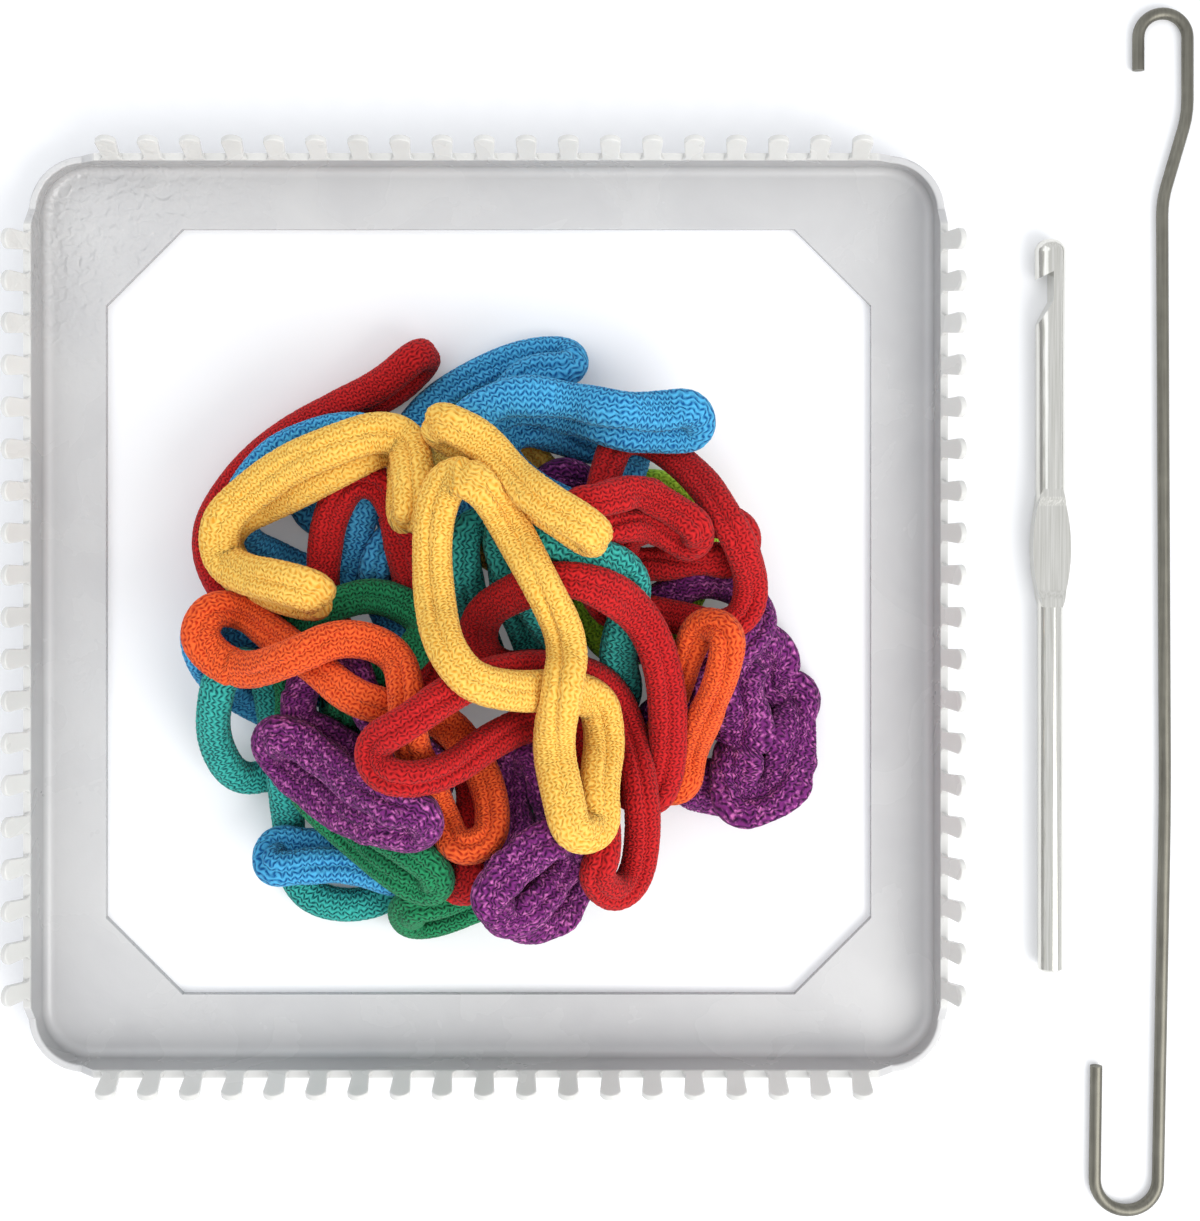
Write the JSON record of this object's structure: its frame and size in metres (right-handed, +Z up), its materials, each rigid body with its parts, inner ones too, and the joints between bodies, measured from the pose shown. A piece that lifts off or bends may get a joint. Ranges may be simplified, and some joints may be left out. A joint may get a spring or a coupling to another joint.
{
  "type": "potholder loom",
  "caption": "Square plastic tray loom with leaning pegs round its rim, a wire weaving hook, a metal crochet hook and a heap of knitted loops in its window.",
  "frame": {"origin": "centre of the loom's square window, on the table plane under the tray", "axes": "+Z up out of the window, +X towards the two hooks, +Y away from the weaver"},
  "size_m": [0.2445, 0.2531, 0.047],
  "materials": {
    "frosted_plastic": "moulded, milky and slightly translucent, satin",
    "bare_steel": "drawn wire, dull grey with a faint olive cast",
    "bright_aluminium": "polished and burnished",
    "yellow_knit": "knitted cotton band, edges rolled in, fuzzy",
    "orange_knit": "knitted cotton band, edges rolled in, fuzzy",
    "red_knit": "knitted cotton band, edges rolled in, fuzzy",
    "blue_knit": "knitted cotton band, edges rolled in, fuzzy",
    "teal_knit": "knitted cotton band, edges rolled in, fuzzy",
    "green_knit": "knitted cotton band, edges rolled in, fuzzy",
    "purple_knit": "knitted cotton band, edges rolled in, fuzzy",
    "lime_knit": "knitted cotton band, edges rolled in, fuzzy"
  },
  "bodies": {
    "loom": {"loom_frame": "frosted_plastic", "pegs_front": "frosted_plastic", "pegs_back": "frosted_plastic", "pegs_left": "frosted_plastic", "pegs_right": "frosted_plastic"},
    "loops": {"lime_loop_1": "lime_knit", "yellow_loop_1": "yellow_knit", "purple_loop_1": "purple_knit", "purple_loop_2": "purple_knit", "purple_loop_3": "purple_knit", "purple_loop_4": "purple_knit", "red_loop_1": "red_knit", "blue_loop_1": "blue_knit", "blue_loop_2": "blue_knit", "blue_loop_3": "blue_knit", "teal_loop_1": "teal_knit", "blue_loop_4": "blue_knit", "green_loop_1": "green_knit", "teal_loop_2": "teal_knit", "blue_loop_5": "blue_knit", "red_loop_2": "red_knit", "blue_loop_6": "blue_knit", "red_loop_3": "red_knit", "green_loop_2": "green_knit", "purple_loop_5": "purple_knit", "purple_loop_6": "purple_knit", "teal_loop_3": "teal_knit", "teal_loop_4": "teal_knit", "red_loop_4": "red_knit", "red_loop_5": "red_knit", "red_loop_6": "red_knit", "orange_loop_1": "orange_knit", "purple_loop_7": "purple_knit", "red_loop_7": "red_knit", "blue_loop_7": "blue_knit", "yellow_loop_2": "yellow_knit", "yellow_loop_3": "yellow_knit", "orange_loop_2": "orange_knit", "purple_loop_8": "purple_knit", "red_loop_8": "red_knit", "yellow_loop_4": "yellow_knit"},
    "weaving_hook": {"weaving_hook": "bare_steel"},
    "crochet_hook": {"crochet_hook": "bright_aluminium"}
  },
  "joints": [
    {"name": "loops_lift", "type": "slide", "parent": "loom", "child": "loops", "axis": [0, 0, 1], "range_m": [0, 0.06]},
    {"name": "weaving_hook_lift", "type": "slide", "parent": "loom", "child": "weaving_hook", "axis": [0, 0, 1], "range_m": [0, 0.06]},
    {"name": "crochet_hook_lift", "type": "slide", "parent": "loom", "child": "crochet_hook", "axis": [0, 0, 1], "range_m": [0, 0.06]}
  ]
}
